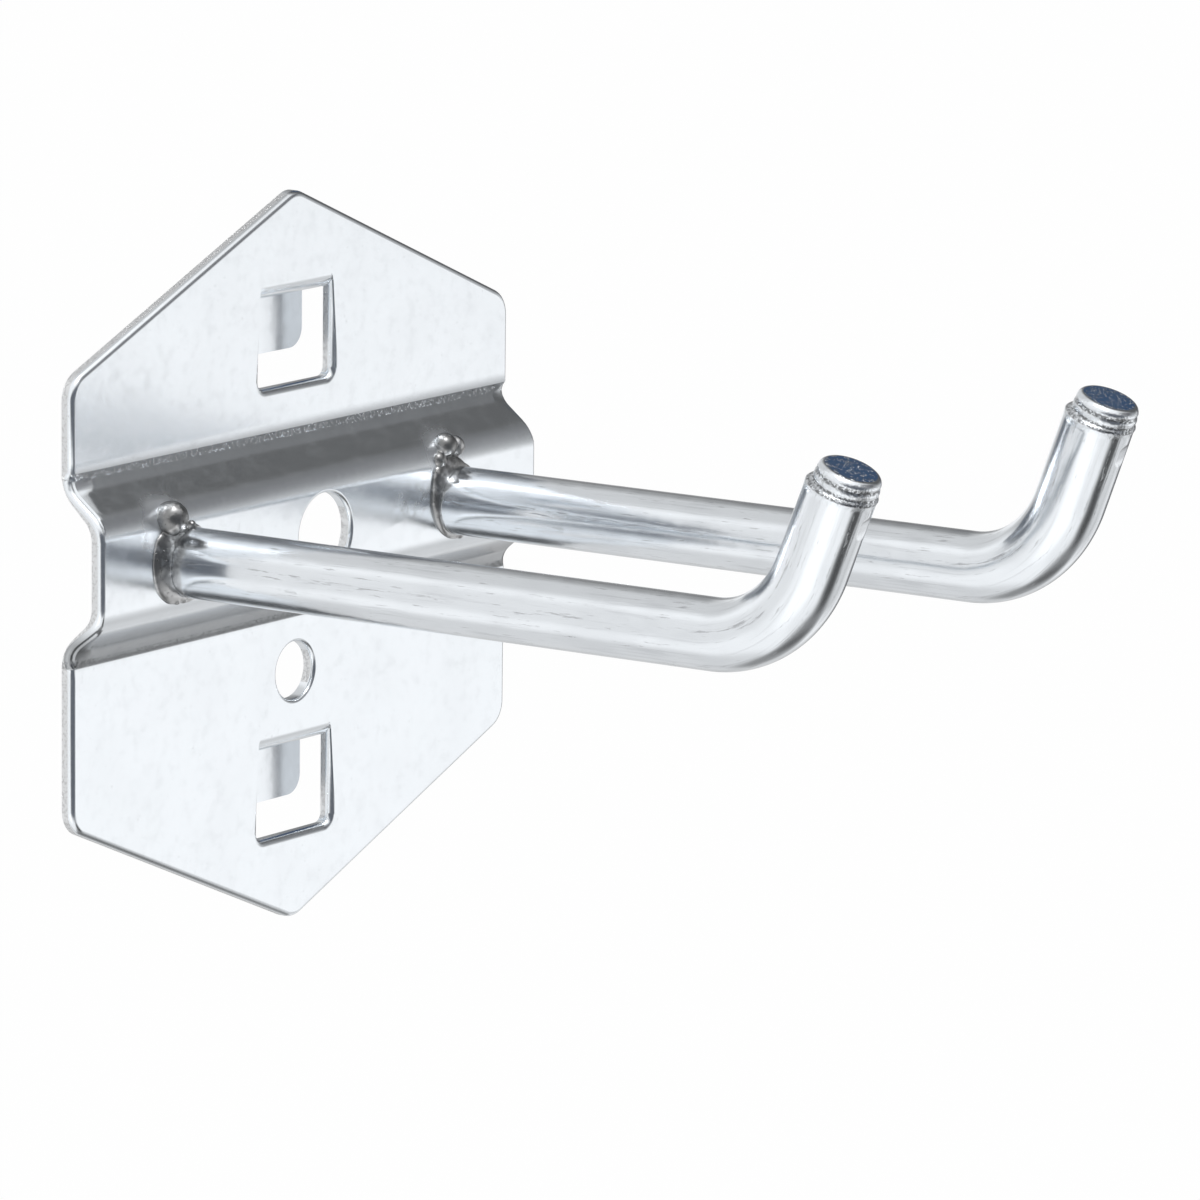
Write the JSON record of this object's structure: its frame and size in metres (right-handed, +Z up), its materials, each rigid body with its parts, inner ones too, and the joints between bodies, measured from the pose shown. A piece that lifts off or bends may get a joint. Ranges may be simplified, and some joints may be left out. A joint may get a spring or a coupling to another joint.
{
  "type": "pegboard hook",
  "caption": "Double prong hook for a perforated panel: a pointed, channelled back plate with two hanging tabs and two wire prongs bent up at their ends.",
  "frame": {"origin": "on the plane where the back plate meets the panel, on the centre line, half way between the two tabs", "axes": "+Z up, +Y into the panel, so the prongs reach towards -Y, and +X to the right as seen from the front"},
  "size_m": [0.0576, 0.075, 0.0612],
  "materials": {
    "plated_sheet": "bright zinc plating on rolled sheet",
    "plated_wire": "bright zinc plating on drawn wire",
    "plated_weld": "bright zinc plating on a rough weld bead"
  },
  "bodies": {
    "root": {"back_plate": "plated_sheet", "left_prong": "plated_wire", "right_prong": "plated_wire", "left_weld": "plated_weld", "right_weld": "plated_weld"}
  },
  "joints": []
}
